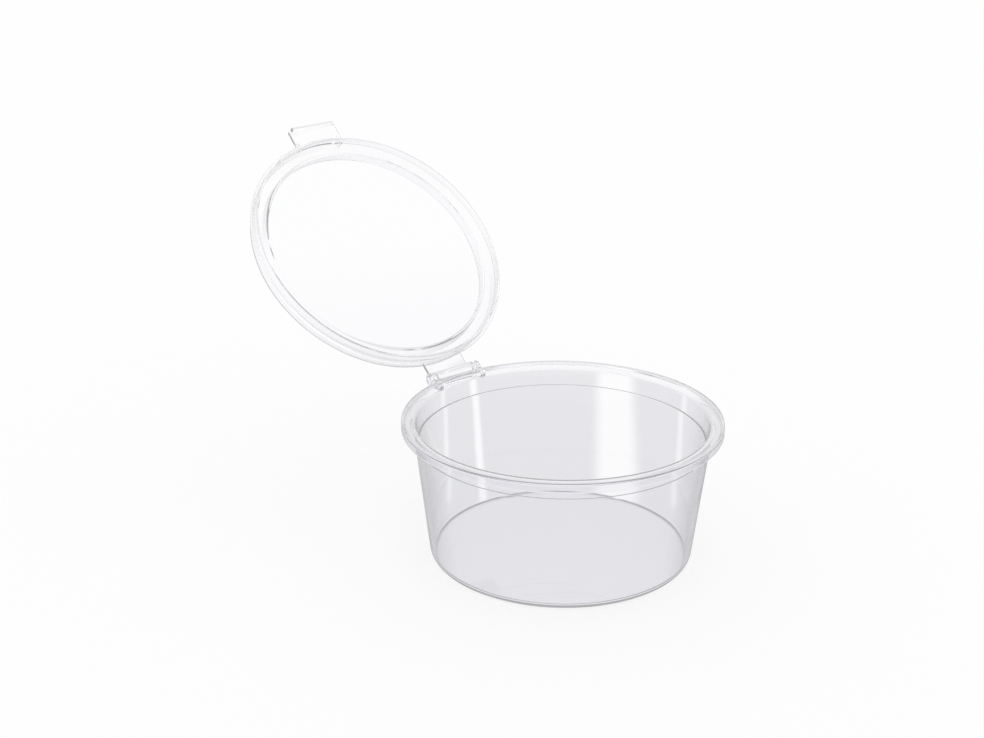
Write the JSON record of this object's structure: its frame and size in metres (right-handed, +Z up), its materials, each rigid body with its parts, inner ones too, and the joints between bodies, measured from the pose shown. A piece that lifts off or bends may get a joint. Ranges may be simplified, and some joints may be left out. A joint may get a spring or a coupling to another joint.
{
  "type": "sauce cup",
  "caption": "Clear round sauce cup with a tapered wall, a step inside its collar and a flanged rim, and a pin-hinged plug lid with a finger tab, shown open.",
  "frame": {"origin": "centre of the cup's flat base, on the surface that it stands on", "axes": "+Z up through the centre of the cup, +Y towards the hinge, X along the hinge's axis"},
  "size_m": [0.0715, 0.1296, 0.0828],
  "materials": {
    "clear_plastic": "clear gloss"
  },
  "bodies": {
    "cup": {"cup": "clear_plastic"},
    "lid": {"lid": "clear_plastic"}
  },
  "joints": [
    {"name": "lid_hinge", "type": "hinge", "parent": "cup", "child": "lid", "pos_m": [0, 0.03765, 0.0314], "axis": [-1, 0, 0], "range_deg": [-137, 43]}
  ]
}
